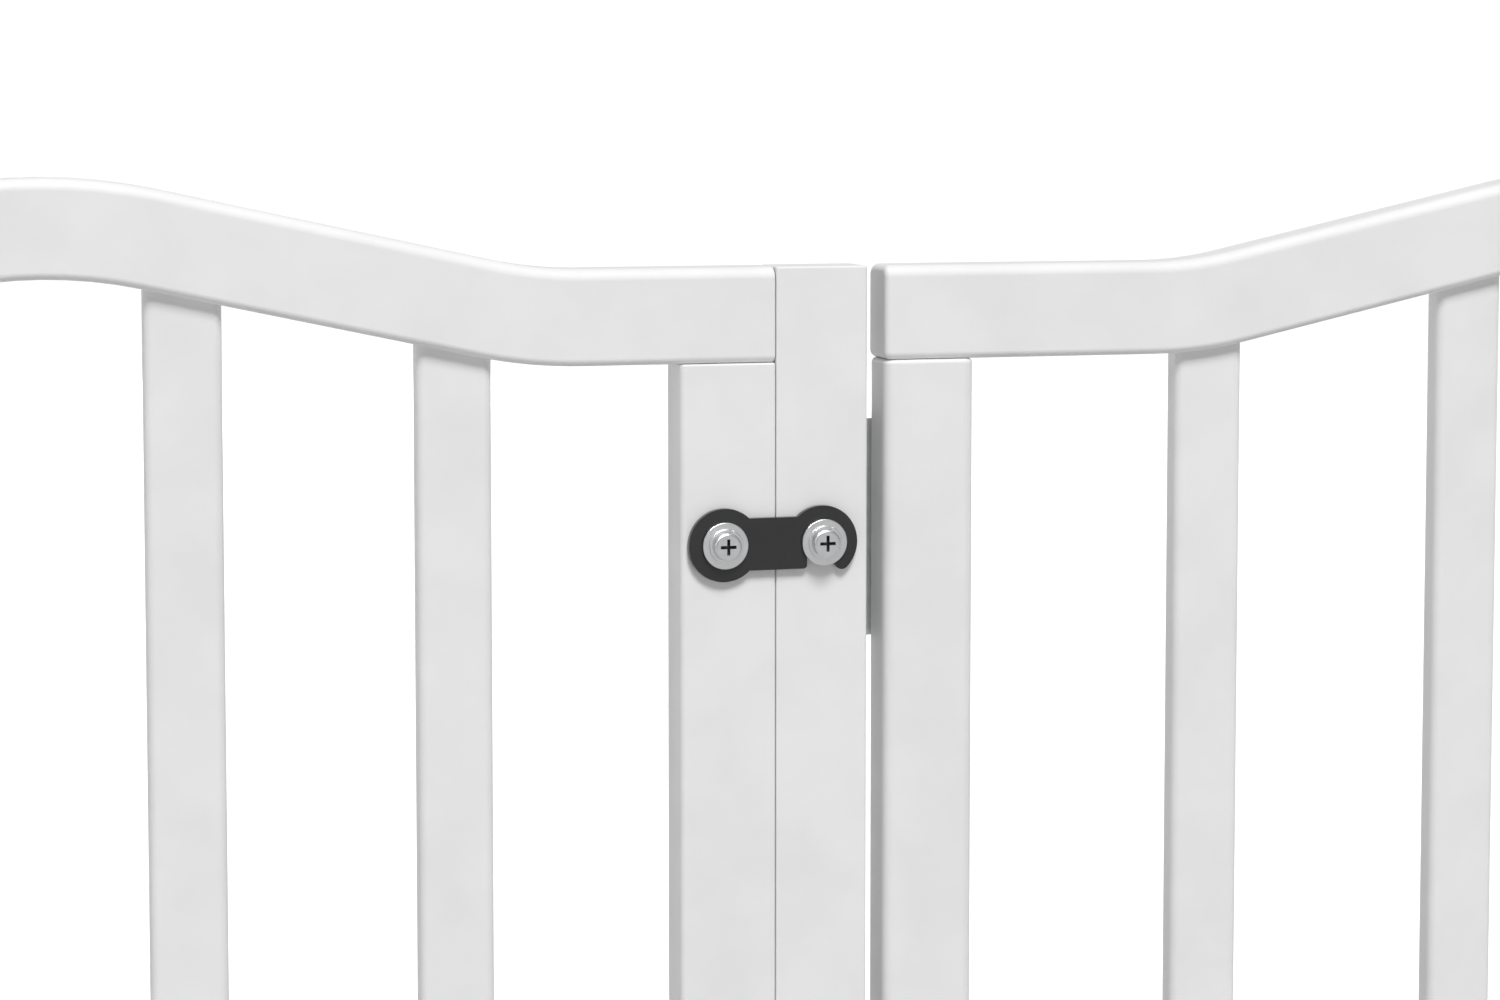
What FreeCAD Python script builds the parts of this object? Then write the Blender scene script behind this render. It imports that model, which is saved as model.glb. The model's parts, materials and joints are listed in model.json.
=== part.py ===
"""Folding wooden pet gate: a door in its frame, a middle panel and an end panel.

Every wooden bar is modelled in the frame of its own module, which is module_width wide:
X runs to the right from the module's left edge, Y runs backwards from the middle of the
wood and Z runs up from the floor.  SPOTS then sets the modules side by side, with the
origin in the middle of the threshold's underside.
"""
import FreeCAD, Part
import math
import os
import re

import Sketcher
from FreeCAD import Vector

# Driving dimensions in millimetres, and angles in degrees.
SIZES = {
    # modules and stock
    "module_width": 508,
    "module_gap": 6,
    "stock_depth": 18,
    "post_width": 30,
    "stile_width": 30,
    "rail_height": 30,
    "end_height": 672,
    # arch of the top rails
    "arch_angle": 12.4,
    "bend_inset": 105,
    "bend_radius": 125,
    "apex_radius": 165,
    # door in its frame
    "latch_side_gap": 0.8,
    "hinge_side_gap": 2,
    "threshold_height": 24,
    "door_clearance": 6,
    "rail_clearance": 42,
    # slats and dowels
    "slat_width": 23.2,
    "slat_depth": 10,
    "slat_count": 4,
    "mortise_depth": 10,
    "dowel_diameter": 8,
    "threshold_dowel_diameter": 6,
    "dowel_length": 30,
    "dowel_spacing": 14,
    # rounding of the wood's edges
    "soft_edge": 2.5,
    "crisp_edge": 1.2,
    "slat_edge": 3,
    # butt hinges
    "hinge_length": 70,
    "upper_hinge_height": 587,
    "lower_hinge_height": 120,
    "leaf_reach": 20,
    "leaf_thickness": 1.5,
    "barrel_diameter": 6,
    "barrel_stand_off": 0.1,
    "outer_knuckle": 12,
    "knuckle_play": 0.15,
    "leaf_clearance": 0.4,
    "pin_diameter": 2.9,
    "pin_bore": 3,
    "pin_overhang": 1.5,
    "hinge_screw_inset": 12,
    "hinge_screw_spacing": 26,
    "hinge_screw_head": 7,
    "hinge_screw_shank": 3.5,
    "hinge_screw_length": 14,
    # latch
    "latch_height": 585.5,
    "pivot_offset": 17,
    "keeper_offset": 15.2,
    "hook_ear_diameter": 23,
    "hook_bar_height": 16.4,
    "hook_thickness": 2,
    "hook_play": 0.3,
    "hook_bore_play": 0.08,
    "hook_slot_width": 9.2,
    "hook_slot_shift": 0.8,
    "bush_diameter": 7,
    "washer_diameter": 14.6,
    "washer_thickness": 1.2,
    "lock_washer_diameter": 10.7,
    "lock_washer_thickness": 1.1,
    "latch_screw_head": 8.7,
    "latch_screw_head_height": 2.1,
    "latch_screw_rim": 1.2,
    "latch_screw_crown": 6.9,
    "latch_screw_shank": 4,
    "latch_screw_length": 14,
    "washer_bore": 4.4,
    # how far the end panel is turned forward, so that the gate stands by itself
    "rest_fold": 55,
}

doc = FreeCAD.newDocument("PetGate")
sheet = doc.addObject("Spreadsheet::Sheet", "Sizes")
for row, (word, number) in enumerate(SIZES.items(), start=1):
    sheet.set(f"A{row}", word)
    sheet.set(f"B{row}", str(number))
    sheet.setAlias(f"B{row}", word)
doc.recompute()

WORD = re.compile(r"\b(" + "|".join(sorted(SIZES, key=len, reverse=True)) + r")\b")


def cells(formula):
    """Write a formula in the sheet's words as a FreeCAD expression."""
    return WORD.sub(r"Sizes.\1", formula)


def bind(item, **formulas):
    """Tie properties of a document object to formulas in the sheet's words."""
    for name, formula in formulas.items():
        item.setExpression(name, cells(formula))


# Places.  Each spot is a placement formula for one module.

HALF_DEPTH = "stock_depth / 2"
AXIS_OFFSET = "(stock_depth / 2 + barrel_diameter / 2 + barrel_stand_off)"
PITCH = "(module_width + module_gap)"
SPOTS = {
    "door": "placement(vector(-module_width / 2; 0; 0); rotation(vector(0; 0; 1); 0); vector(0; 0; 0))",
    "middle": f"placement(vector({PITCH} - module_width / 2; 0; 0);"
              " rotation(vector(0; 0; 1); 0); vector(0; 0; 0))",
    "end": f"placement(vector(2 * {PITCH} - module_width / 2; 0; 0);"
           " rotation(vector(0; 0; 1); -rest_fold);"
           f" vector(-module_gap / 2; -{AXIS_OFFSET}; 0))",
}


def place(item, spot, x="0", y="0", z="0", axis="0; 0; 1", angle=0):
    """Put an object at a point of a module, turned about an axis of its own."""
    local = f"placement(vector({x}; {y}; {z}); rotation(vector({axis}); {angle}); vector(0; 0; 0))"
    bind(item, Placement=f"{SPOTS[spot]} * {local}")


# Sketches

def pin_point(sketch, edge, point, across=None, up=None):
    """Dimension one point of a sketch from the origin."""
    for kind, formula in (("DistanceX", across), ("DistanceY", up)):
        if formula is None:
            continue
        here = sketch.getPoint(edge, point)
        distance = here.x if kind == "DistanceX" else here.y
        index = sketch.addConstraint(Sketcher.Constraint(kind, -1, 1, edge, point, distance))
        sketch.setExpression(f"Constraints[{index}]", cells(formula))


def outline(sketch, corners):
    """Draw a closed outline of straight lines through corners given as formulas."""
    count = len(corners)
    turn = 2 * math.pi / count
    rough = [Vector(2 + math.cos(index * turn), 2 + math.sin(index * turn), 0)
             for index in range(count)]
    for index in range(count):
        sketch.addGeometry(Part.LineSegment(rough[index], rough[(index + 1) % count]))
    for index, (across, up) in enumerate(corners):
        before = (index - 1) % count
        sketch.addConstraint(Sketcher.Constraint("Coincident", before, 2, index, 1))
        pin_point(sketch, index, 1, across, up)


def front_sketch(body, name):
    """Start a sketch on a body's front plane: X across and Z up."""
    sketch = body.newObject("Sketcher::SketchObject", name)
    plane = next(item for item in body.Origin.OriginFeatures if item.Role == "XZ_Plane")
    sketch.AttachmentSupport = [(plane, "")]
    sketch.MapMode = "FlatFace"
    return sketch


# Wooden parts

def rounded_pad(body, sketch, depth, rounding):
    """Pad a front view to both sides of the middle of the wood and round every edge."""
    pad = body.newObject("PartDesign::Pad", f"{body.Name}_pad")
    pad.Profile = sketch
    pad.SideType = "Symmetric"
    bind(pad, Length=depth)
    doc.recompute()
    fillet = body.newObject("PartDesign::Fillet", f"{body.Name}_edges")
    fillet.Base = (pad, [""])
    fillet.UseAllEdges = True
    bind(fillet, Radius=rounding)
    body.Tip = fillet


def straight_bar(name, spot, left, bottom, right, top, depth="stock_depth", rounding="soft_edge"):
    """Make an upright or level bar with rounded edges from its front view."""
    body = doc.addObject("PartDesign::Body", name)
    sketch = front_sketch(body, f"{name}_view")
    outline(sketch, [(left, bottom), (right, bottom), (right, top), (left, top)])
    rounded_pad(body, sketch, depth, rounding)
    place(body, spot)
    return body


ROUGH_ARC = 0.15     # share of each leg that the arcs take before the sketch is solved


def arch_line(sketch, left, right, height, bend_radius, apex_radius):
    """Draw one long edge of an arched rail: level, up, over the crown, down and level.

    Returns the first and last straight line.  The bends are centred above the rail and the
    crown below it, so two such lines with the same centres run parallel.
    """
    first = sketch.GeometryCount
    rise = math.tan(math.radians(sheet.arch_angle))
    crown = sheet.end_height + rise * (sheet.module_width / 2 - sheet.bend_inset)
    knots = [Vector(0, sheet.end_height, 0), Vector(sheet.bend_inset, sheet.end_height, 0),
             Vector(sheet.module_width / 2, crown, 0),
             Vector(sheet.module_width - sheet.bend_inset, sheet.end_height, 0),
             Vector(sheet.module_width, sheet.end_height, 0)]
    legs = []
    for near, far in zip(knots, knots[1:]):
        step = (far - near) * ROUGH_ARC
        legs.append((near + step, far - step))
        sketch.addGeometry(Part.LineSegment(*legs[-1]))
    for knot, before, after in zip(knots[1:], legs, legs[1:]):
        middle = (before[1] + after[0] + knot * 2) * 0.25
        sketch.addGeometry(Part.Arc(before[1], middle, after[0]))
    for index in range(3):
        arc = first + 4 + index
        enter, leave = (2, 1) if index == 1 else (1, 2)
        sketch.addConstraint(Sketcher.Constraint("Tangent", first + index, 2, arc, enter))
        sketch.addConstraint(Sketcher.Constraint("Tangent", arc, leave, first + index + 1, 1))
    valley = "(bend_inset - bend_radius * tan(arch_angle * 1 deg / 2))"
    centres = [valley, "module_width / 2", f"module_width - {valley}"]
    for index, (centre, radius) in enumerate(zip(centres, [bend_radius, apex_radius, bend_radius])):
        arc = first + 4 + index
        item = sketch.addConstraint(Sketcher.Constraint("Radius", arc, sheet.bend_radius))
        sketch.setExpression(f"Constraints[{item}]", cells(radius))
        pin_point(sketch, arc, 3, across=centre)
    for leg, sign in ((first + 1, ""), (first + 2, "-")):
        slope = FreeCAD.Units.Quantity(f"{sign}{sheet.arch_angle} deg")
        item = sketch.addConstraint(Sketcher.Constraint("Angle", leg, slope))
        sketch.setExpression(f"Constraints[{item}]", cells(f"{sign}arch_angle * 1 deg"))
    for index in (0, 3):
        sketch.addConstraint(Sketcher.Constraint("Horizontal", first + index))
    pin_point(sketch, first, 1, left, height)
    pin_point(sketch, first + 3, 2, right)
    return first, first + 3


def arched_rail(name, spot, left, right):
    """Make a top rail: a bar of even height that rises to a crown in the module's middle."""
    body = doc.addObject("PartDesign::Body", name)
    sketch = front_sketch(body, f"{name}_view")
    upper = arch_line(sketch, left, right, "end_height", "bend_radius", "apex_radius")
    lower = arch_line(sketch, left, right, "end_height - rail_height",
                      "bend_radius + rail_height", "apex_radius - rail_height")
    for side, point in ((0, 1), (1, 2)):
        ends = [sketch.getPoint(edges[side], point) for edges in (upper, lower)]
        line = sketch.addGeometry(Part.LineSegment(*ends))
        for corner, edges in ((1, upper), (2, lower)):
            sketch.addConstraint(Sketcher.Constraint("Coincident", line, corner, edges[side], point))
    rounded_pad(body, sketch, "stock_depth", "soft_edge")
    place(body, spot)
    return body


def group(name, items):
    """Join separate solids, such as dowels or screws, in one object."""
    compound = doc.addObject("Part::Compound", name)
    compound.Links = items
    return compound


def cylinder(name, spot, diameter, length, **where):
    item = doc.addObject("Part::Cylinder", name)
    bind(item, Radius=f"{diameter} / 2", Height=length)
    place(item, spot, **where)
    return item


def cut(name, base, *tools):
    """Take other parts' shapes out of a blank: dowels, tenons and screws make their own holes."""
    result = doc.addObject("Part::Cut", name)
    result.Base = base
    result.Tool = tools[0] if len(tools) == 1 else group(f"{name}_cutters", list(tools))
    return result


parts = {}


def keep(item):
    """Register a finished sub-part under its label, which names its file."""
    item.Label = item.Name
    parts[item.Label] = item
    return item


# Panels

def slat_centre(index, left, right):
    """Formula for the middle of slat number index, spaced evenly between the stiles."""
    inner = f"({right} - ({left}) - 2 * stile_width)"
    space = f"({inner} - slat_count * slat_width) / (slat_count + 1)"
    return f"({left} + stile_width + {index} * {space} + ({index} - 0.5) * slat_width)"


def make_slats(spot, left, right):
    """Make the slats, whose ends stand in mortises of both rails."""
    slats = []
    slope = "tan(arch_angle * 1 deg)"
    for index in range(1, SIZES["slat_count"] + 1):
        middle = slat_centre(index, left, right)
        inset = middle if index <= SIZES["slat_count"] / 2 else f"(module_width - {middle})"
        slats.append(keep(straight_bar(
            f"{spot}_slat_{index}", spot,
            f"{middle} - slat_width / 2", "rail_clearance + rail_height - mortise_depth",
            f"{middle} + slat_width / 2",
            f"end_height - rail_height + ({inset} - bend_inset) * {slope} + mortise_depth",
            depth="slat_depth", rounding="slat_edge")))
    return slats


def make_dowels(spot, left, right):
    """Make the dowels: one upright in each stile's top, two level at each bottom rail end."""
    dowels = []
    for side, edge, sign in (("left", left, "+"), ("right", right, "-")):
        dowels.append(cylinder(f"{spot}_dowel_{side}_top", spot, "dowel_diameter", "dowel_length",
                               x=f"{edge} {sign} stile_width / 2",
                               z="end_height - rail_height - dowel_length / 2"))
        for step in (-0.5, 0.5):
            place_in_rail = f"rail_clearance + rail_height / 2 + {step} * dowel_spacing"
            dowels.append(cylinder(f"{spot}_dowel_{side}_{'low' if step < 0 else 'high'}", spot,
                                   "dowel_diameter", "dowel_length",
                                   x=f"{edge} {sign} stile_width - dowel_length / 2",
                                   z=place_in_rail, axis="0; 1; 0", angle=90))
    return keep(group(f"{spot}_dowels", dowels))


def make_panel(spot, left, right, foot, left_screws, right_screws):
    """Make one panel: two stiles, an arched top rail, a bottom rail, slats and dowels."""
    slats = make_slats(spot, left, right)
    dowels = make_dowels(spot, left, right)
    top = arched_rail(f"{spot}_top_rail_blank", spot, left, right)
    keep(cut(f"{spot}_top_rail", top, dowels, *slats))
    low = straight_bar(f"{spot}_bottom_rail_blank", spot, f"{left} + stile_width", "rail_clearance",
                       f"{right} - stile_width", "rail_clearance + rail_height",
                       rounding="crisp_edge")
    keep(cut(f"{spot}_bottom_rail", low, dowels, *slats))
    for side, near, far, screws in (("left", left, f"{left} + stile_width", left_screws),
                                    ("right", f"{right} - stile_width", right, right_screws)):
        blank = straight_bar(f"{spot}_{side}_stile_blank", spot, near, foot, far,
                             "end_height - rail_height", rounding="crisp_edge")
        keep(cut(f"{spot}_{side}_stile", blank, dowels, *screws))


# Hardware turned about its own Y axis, with its head at +Y

def turned_profile(name, corners):
    """Draw half of a turned part, as radius and distance along its axis."""
    sketch = doc.addObject("Sketcher::SketchObject", f"{name}_profile")
    outline(sketch, corners)
    return sketch


def turned(name, profile, spot, **where):
    item = doc.addObject("Part::Revolution", name)
    item.Source = profile
    item.Axis = (0, 1, 0)
    item.Angle = 360
    item.Solid = True
    place(item, spot, **where)
    return item


def ring_profile(name, bore, diameter, low, high):
    """Profile of a washer or bush between two distances in front of the wood."""
    return turned_profile(name, [(f"{bore} / 2", low), (f"{diameter} / 2", low),
                                 (f"{diameter} / 2", high), (f"{bore} / 2", high)])


HINGE_SCREW = turned_profile("hinge_screw", [
    ("0", "-hinge_screw_length"),
    ("hinge_screw_shank / 2", "-hinge_screw_length + hinge_screw_shank / 2"),
    ("hinge_screw_shank / 2", "-(hinge_screw_head - hinge_screw_shank) / 2"),
    ("hinge_screw_head / 2", "0"),
    ("0", "0"),
])

# Knuckles from the bottom of the barrel to its top: the fixed leaf holds the outer and the
# middle ones, and the moving leaf the two longer ones between them.
LONG = "(hinge_length - 3 * outer_knuckle) / 2"
BASE = "(-hinge_length / 2)"
KNUCKLES = {
    "fixed": [(BASE, "outer_knuckle"), ("(-outer_knuckle / 2)", "outer_knuckle"),
              ("(hinge_length / 2 - outer_knuckle)", "outer_knuckle")],
    "moving": [(f"({BASE} + outer_knuckle)", LONG), ("(outer_knuckle / 2)", LONG)],
}
HEIGHTS = {"lower": "lower_hinge_height", "upper": "upper_hinge_height"}


def make_leaf(name, spot, kind, side, face, axis_x, height, screws):
    """Make one hinge leaf: a plate on the wood, its knuckles and the countersunk holes.

    side is +1 when the plate lies to the right of the pin and -1 to the left; face is +1 on
    the back of the wood and -1 on its front.
    """
    axis_y = AXIS_OFFSET if face > 0 else f"-{AXIS_OFFSET}"
    plate = doc.addObject("Part::Box", f"{name}_plate")
    bind(plate, Length="leaf_reach", Width="leaf_thickness", Height="hinge_length")
    place(plate, spot, x=axis_x if side > 0 else f"{axis_x} - leaf_reach",
          y=HALF_DEPTH if face > 0 else f"-{HALF_DEPTH} - leaf_thickness",
          z=f"{height} - hinge_length / 2")
    other = "moving" if kind == "fixed" else "fixed"
    knuckles = [cylinder(f"{name}_knuckle_{index}", spot, "barrel_diameter",
                         f"{length} - 2 * knuckle_play", x=axis_x, y=axis_y,
                         z=f"{height} + {start} + knuckle_play")
                for index, (start, length) in enumerate(KNUCKLES[kind])]
    notches = [cylinder(f"{name}_notch_{index}", spot, "(barrel_diameter + 2 * leaf_clearance)",
                        f"{length} + 2 * knuckle_play", x=axis_x, y=axis_y,
                        z=f"{height} + {start} - knuckle_play")
               for index, (start, length) in enumerate(KNUCKLES[other])]
    bore = cylinder(f"{name}_bore", spot, "pin_bore", "hinge_length", x=axis_x, y=axis_y,
                    z=f"{height} - hinge_length / 2")
    notched = cut(f"{name}_notched", plate, *notches)
    solid = doc.addObject("Part::MultiFuse", f"{name}_solid")
    solid.Shapes = [notched] + knuckles
    return cut(name, solid, bore, *screws)


def make_hinges(name, face, fixed, moving):
    """Make the two hinges of one joint: leaves, pins and screws for both sides.

    fixed and moving are (spot, axis_x, side) for the two leaves: the pin's X in that module.
    """
    screws = {}
    for kind, (spot, axis_x, side) in (("fixed", fixed), ("moving", moving)):
        leaves = []
        screws[kind] = []
        for level, height in HEIGHTS.items():
            own = [turned(f"{name}_{kind}_screw_{level}_{step + 1}", HINGE_SCREW, spot,
                          x=f"{axis_x} + {side} * hinge_screw_inset",
                          y=f"{face} * (stock_depth / 2 + leaf_thickness)",
                          z=f"{height} + {step} * hinge_screw_spacing",
                          angle=0 if face > 0 else 180)
                   for step in (-1, 0, 1)]
            leaves.append(make_leaf(f"{name}_{kind}_leaf_{level}", spot, kind, side, face,
                                    axis_x, height, own))
            screws[kind] += own
        keep(group(f"{name}_{kind}_leaves", leaves))
        keep(group(f"{name}_{kind}_screws", screws[kind]))
    spot, axis_x, _ = fixed
    keep(group(f"{name}_pins", [
        cylinder(f"{name}_pin_{level}", spot, "pin_diameter", "hinge_length + 2 * pin_overhang",
                 x=axis_x, y=f"{face} * {AXIS_OFFSET}",
                 z=f"{height} - hinge_length / 2 - pin_overhang")
        for level, height in HEIGHTS.items()]))
    return screws


# Latch: two screws with washers and bushes, and the hook that turns on the left one

STACK = "(hook_thickness + 2 * hook_play)"
BUSH = ring_profile("bush", "washer_bore", "bush_diameter", "0", STACK)
WASHER = ring_profile("washer", "washer_bore", "washer_diameter", STACK,
                      f"{STACK} + washer_thickness")
LOCK_LOW = f"({STACK} + washer_thickness)"
LOCK_WASHER = ring_profile("lock_washer", "washer_bore", "lock_washer_diameter", LOCK_LOW,
                           f"{LOCK_LOW} + lock_washer_thickness")
HEAD_LOW = f"({LOCK_LOW} + lock_washer_thickness)"
LATCH_SCREW = turned_profile("latch_screw", [
    ("0", "-latch_screw_length"),
    ("latch_screw_shank / 2", "-latch_screw_length + latch_screw_shank / 2"),
    ("latch_screw_shank / 2", HEAD_LOW),
    ("latch_screw_head / 2", HEAD_LOW),
    ("latch_screw_head / 2", f"{HEAD_LOW} + latch_screw_rim"),
    ("latch_screw_crown / 2", f"{HEAD_LOW} + latch_screw_head_height"),
    ("0", f"{HEAD_LOW} + latch_screw_head_height"),
])
SEAM = "(module_width - post_width - latch_side_gap / 2)"
PIVOT_X = f"{SEAM} - pivot_offset"
KEEPER_X = f"{SEAM} + keeper_offset"


def make_latch_screw(name, x):
    """Make one latch screw with its bush and washers, all in front of the wood."""
    spots = dict(x=x, y=f"-{HALF_DEPTH}", z="latch_height", angle=180)
    for part, profile in (("bush", BUSH), ("washer", WASHER), ("lock_washer", LOCK_WASHER)):
        keep(turned(f"{name}_{part}", profile, "door", **spots))
    return keep(turned(f"{name}_screw", LATCH_SCREW, "door", **spots))


def hook_box(name, x, z, width, height):
    """Make a block through the hook's thickness, with its lower left corner at x, z."""
    block = doc.addObject("Part::Box", name)
    bind(block, Length=width, Width="hook_thickness", Height=height)
    place(block, "door", x=f"{PIVOT_X} + {x}", y=f"-{HALF_DEPTH} - hook_play - hook_thickness",
          z=f"latch_height + {z}")
    return block


def hook_disc(name, x, diameter):
    """Make a disc through the hook's thickness, with its centre at x from the pivot."""
    return cylinder(name, "door", diameter, "hook_thickness", x=f"{PIVOT_X} + {x}",
                    y=f"-{HALF_DEPTH} - hook_play", z="latch_height", axis="1; 0; 0", angle=90)


def make_hook():
    """Make the flat hook: two ears joined by a bar, a bore, and a slot that opens downwards."""
    reach = "(pivot_offset + keeper_offset)"
    slot_x = f"({reach} - hook_slot_shift)"
    blank = doc.addObject("Part::MultiFuse", "latch_hook_blank")
    blank.Shapes = [
        hook_disc("hook_pivot_ear", "0", "hook_ear_diameter"),
        hook_disc("hook_slot_ear", reach, "hook_ear_diameter"),
        hook_box("hook_bar", "0", "-hook_bar_height / 2", reach, "hook_bar_height"),
    ]
    return keep(cut(
        "latch_hook", blank,
        hook_disc("hook_bore", "0", "(bush_diameter + 2 * hook_bore_play)"),
        hook_disc("hook_slot_end", slot_x, "hook_slot_width"),
        hook_box("hook_slot", f"{slot_x} - hook_slot_width / 2", "-hook_ear_diameter",
                 "hook_slot_width", "hook_ear_diameter"),
        hook_box("hook_trim", f"{reach} - hook_ear_diameter / 2", "-hook_ear_diameter",
                 "hook_ear_diameter", "hook_ear_diameter - hook_bar_height / 2")))


# The gate

DOOR_LEFT = "(post_width + hinge_side_gap)"
DOOR_RIGHT = "(module_width - post_width - latch_side_gap)"

door_screws = make_hinges("door_hinge", -1, ("door", "(post_width + hinge_side_gap / 2)", -1),
                          ("door", "(post_width + hinge_side_gap / 2)", 1))
frame_screws = make_hinges("frame_hinge", 1, ("door", "(module_width + module_gap / 2)", -1),
                           ("middle", "(-module_gap / 2)", 1))
end_screws = make_hinges("end_hinge", -1, ("middle", "(module_width + module_gap / 2)", -1),
                         ("end", "(-module_gap / 2)", 1))
pivot_screw = make_latch_screw("latch_pivot", PIVOT_X)
keeper_screw = make_latch_screw("latch_keeper", KEEPER_X)
make_hook()

make_panel("door", DOOR_LEFT, DOOR_RIGHT, "threshold_height + door_clearance",
           door_screws["moving"], [pivot_screw])
make_panel("middle", "0", "module_width", "0", frame_screws["moving"], end_screws["fixed"])
make_panel("end", "0", "module_width", "0", end_screws["moving"], [])

threshold_dowels = keep(group("threshold_dowels", [
    cylinder(f"threshold_dowel_{side}_{level}", "door", "threshold_dowel_diameter", "dowel_length",
             x=f"{edge} - dowel_length / 2", z=f"threshold_height * {level} / 4",
             axis="0; 1; 0", angle=90)
    for side, edge in (("left", "post_width"), ("right", "(module_width - post_width)"))
    for level in (1, 3)]))
threshold = straight_bar("threshold_blank", "door", "post_width", "0", "module_width - post_width",
                         "threshold_height", rounding="crisp_edge")
keep(cut("threshold", threshold, threshold_dowels))
for side, near, far, screws in (
        ("hinge", "0", "post_width", door_screws["fixed"]),
        ("latch", "module_width - post_width", "module_width", frame_screws["fixed"] + [keeper_screw])):
    post = straight_bar(f"{side}_post_blank", "door", near, "0", far, "end_height",
                        rounding="crisp_edge")
    keep(cut(f"{side}_post", post, threshold_dowels, *screws))

# Check and write

doc.recompute()
for item in doc.Objects:
    if "Invalid" in item.State or "Error" in item.State:
        raise RuntimeError(f"{item.Name} failed: {item.State}")
for label, item in parts.items():
    if item.Shape.isNull() or not item.Shape.isValid() or not item.Shape.Solids:
        raise RuntimeError(f"{label} has no valid solid")

os.makedirs("parts", exist_ok=True)
for label, item in parts.items():
    item.Shape.exportStep(f"parts/{label}.step")
    print(label, len(item.Shape.Solids), "solids", round(item.Shape.Volume / 1000, 2), "cm3")
whole = Part.makeCompound([item.Shape for item in parts.values()])
print(len(parts), "sub-parts; size", whole.BoundBox)
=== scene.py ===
# %% [markdown]
# # A folding wooden pet gate
#
# The gate is made of pine bars sprayed with satin white paint, zinc-plated hinges and
# screws, and one black hook that latches the door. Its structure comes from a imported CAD
# model, which this script loads as a fixed frame. Every wooden bar, screw and washer is
# then built again in its place, with the edges, recesses and finish that the eye looks for.

import json
import math

import bmesh
import bpy
from mathutils import Matrix, Vector


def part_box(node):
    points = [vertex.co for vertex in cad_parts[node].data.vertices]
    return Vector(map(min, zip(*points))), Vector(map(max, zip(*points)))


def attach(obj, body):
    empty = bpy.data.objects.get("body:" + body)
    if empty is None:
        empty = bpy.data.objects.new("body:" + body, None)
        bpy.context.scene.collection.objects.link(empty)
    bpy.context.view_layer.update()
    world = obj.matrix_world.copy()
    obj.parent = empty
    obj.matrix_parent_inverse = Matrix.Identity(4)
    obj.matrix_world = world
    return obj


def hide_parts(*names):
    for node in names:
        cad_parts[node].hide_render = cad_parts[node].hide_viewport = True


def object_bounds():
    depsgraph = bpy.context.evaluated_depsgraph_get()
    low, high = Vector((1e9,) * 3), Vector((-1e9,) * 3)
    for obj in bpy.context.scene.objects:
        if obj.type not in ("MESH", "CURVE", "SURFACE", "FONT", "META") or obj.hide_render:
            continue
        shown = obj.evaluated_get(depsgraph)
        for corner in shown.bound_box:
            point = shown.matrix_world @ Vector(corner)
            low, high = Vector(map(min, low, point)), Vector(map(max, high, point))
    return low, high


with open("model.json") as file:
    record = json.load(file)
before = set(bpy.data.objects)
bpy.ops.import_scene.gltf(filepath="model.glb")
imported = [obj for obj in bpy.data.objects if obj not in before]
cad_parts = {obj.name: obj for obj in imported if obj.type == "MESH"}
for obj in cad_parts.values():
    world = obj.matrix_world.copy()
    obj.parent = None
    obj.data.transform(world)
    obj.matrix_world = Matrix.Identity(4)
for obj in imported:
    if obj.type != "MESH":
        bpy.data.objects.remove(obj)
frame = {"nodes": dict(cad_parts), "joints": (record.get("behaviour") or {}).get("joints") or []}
cad_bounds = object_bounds()
MM = 0.001
print("CAD box in metres:", [tuple(round(c, 3) for c in corner) for corner in cad_bounds])

# %% [markdown]
# ## Tools for the finishes
#
# A finish is a node tree. One function adds a node, sets its inputs and links it, and one
# turns the hex colours that people write down, which are sRGB, to the linear values that
# a renderer mixes.

# %% Colours and nodes


def linear(code):
    """Turn an sRGB hex colour to linear RGBA."""
    channels = [int(code[i:i + 2], 16) / 255 for i in (1, 3, 5)]
    bent = [c / 12.92 if c <= 0.04045 else ((c + 0.055) / 1.055) ** 2.4 for c in channels]
    return (*bent, 1.0)


def add_node(tree, kind, settings=None, links=None, **values):
    """Add a node, set its settings and input values, and link sockets into its inputs."""
    node = tree.nodes.new(kind)
    for name, value in (settings or {}).items():
        setattr(node, name, value)
    for name, value in values.items():
        node.inputs[name.replace("_", " ")].default_value = value
    for name, socket in (links or {}).items():
        tree.links.new(socket, node.inputs[name])
    return node


def new_finish(name):
    """Start a material with a Principled shader and the piece's own coordinates in metres."""
    finish = bpy.data.materials.new(name)
    finish.use_nodes = True
    tree = finish.node_tree
    shader = tree.nodes["Principled BSDF"]
    place = tree.nodes.new("ShaderNodeTexCoord").outputs["Object"]
    return finish, tree, shader, place


# %% [markdown]
# ## Satin white paint on pine
#
# The bars are planed pine, sanded, primed and sprayed with white acrylic paint, then
# lightly sanded again. Three things are left to see. The grain still swells and sinks
# under the paint in long soft streaks, each about 1.5 mm wide. Two coats never cover quite
# evenly, so the white drifts by a percent or two over about 30 mm. And a few knots grin
# through as faint grey smudges. Image textures could hold all this, but noise on the piece's
# own coordinates has no seams and needs no file. It is stretched along the bar, so a level
# bar and an upright one need the pattern turned.

# %% White paint
GRAIN_WIDTH = 1.5 * MM
GRAIN_STRETCH = 40
CLOUD_SIZE = 28 * MM
KNOT_SPACING = 190 * MM
KNOT_SQUEEZE = 0.35
KNOT_CORE, KNOT_RIM = 0.02, 0.07
ORANGE_PEEL = 0.5 * MM
SATIN, MATT = 0.54, 0.68


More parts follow.
